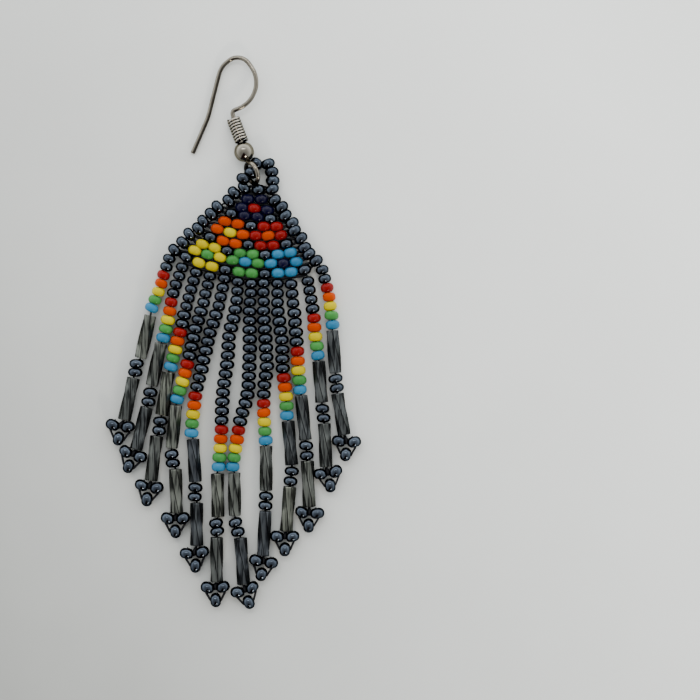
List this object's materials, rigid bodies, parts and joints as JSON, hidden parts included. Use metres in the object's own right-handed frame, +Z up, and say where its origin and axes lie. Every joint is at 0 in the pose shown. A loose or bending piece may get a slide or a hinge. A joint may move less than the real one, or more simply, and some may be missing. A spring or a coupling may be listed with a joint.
{
  "type": "beaded fringe earring",
  "caption": "Flat fringe earring of woven glass seed beads and twisted bugles, hung by a bead loop from a fish-hook ear wire with a ball and coil.",
  "frame": {"origin": "middle of the surface that the earring lies on, under the middle of its outline", "axes": "+Y towards the top of the ear wire, +X to the wearer-facing right, +Z up from the surface"},
  "size_m": [0.0406, 0.0883, 0.0037],
  "materials": {
    "dark_seed_beads": "hematite lustre, opaque",
    "bugle_glass": "gunmetal lustre, six-sided and twisted, opaque",
    "ear_wire_metal": "nickel-silver wire, drawn and lightly polished",
    "ball_metal": "polished",
    "red_glass": "opaque, glossy",
    "orange_glass": "opaque, glossy",
    "yellow_glass": "opaque, glossy",
    "green_glass": "opaque, glossy",
    "blue_glass": "opaque, glossy",
    "navy_glass": "opaque, glossy",
    "beading_thread": "black nylon thread"
  },
  "bodies": {
    "root": {"ear_wire": "ear_wire_metal", "wire_coil": "ear_wire_metal", "ball_bead": "ball_metal", "bead_loop": "dark_seed_beads", "bead_panel": "dark_seed_beads", "fringe_string_01": "dark_seed_beads", "fringe_string_02": "dark_seed_beads", "fringe_string_03": "dark_seed_beads", "fringe_string_04": "dark_seed_beads", "fringe_string_05": "dark_seed_beads", "fringe_string_06": "dark_seed_beads", "fringe_string_07": "dark_seed_beads", "fringe_string_08": "dark_seed_beads", "fringe_string_09": "dark_seed_beads", "fringe_string_10": "dark_seed_beads", "fringe_string_11": "dark_seed_beads", "fringe_string_12": "dark_seed_beads", "upper_bugle_01": "bugle_glass", "upper_bugle_02": "bugle_glass", "upper_bugle_03": "bugle_glass", "upper_bugle_04": "bugle_glass", "upper_bugle_05": "bugle_glass", "upper_bugle_06": "bugle_glass", "upper_bugle_07": "bugle_glass", "upper_bugle_08": "bugle_glass", "upper_bugle_09": "bugle_glass", "upper_bugle_10": "bugle_glass", "upper_bugle_11": "bugle_glass", "upper_bugle_12": "bugle_glass", "lower_bugle_01": "bugle_glass", "lower_bugle_02": "bugle_glass", "lower_bugle_03": "bugle_glass", "lower_bugle_04": "bugle_glass", "lower_bugle_05": "bugle_glass", "lower_bugle_06": "bugle_glass", "lower_bugle_07": "bugle_glass", "lower_bugle_08": "bugle_glass", "lower_bugle_09": "bugle_glass", "lower_bugle_10": "bugle_glass", "lower_bugle_11": "bugle_glass", "lower_bugle_12": "bugle_glass"}
  },
  "joints": []
}
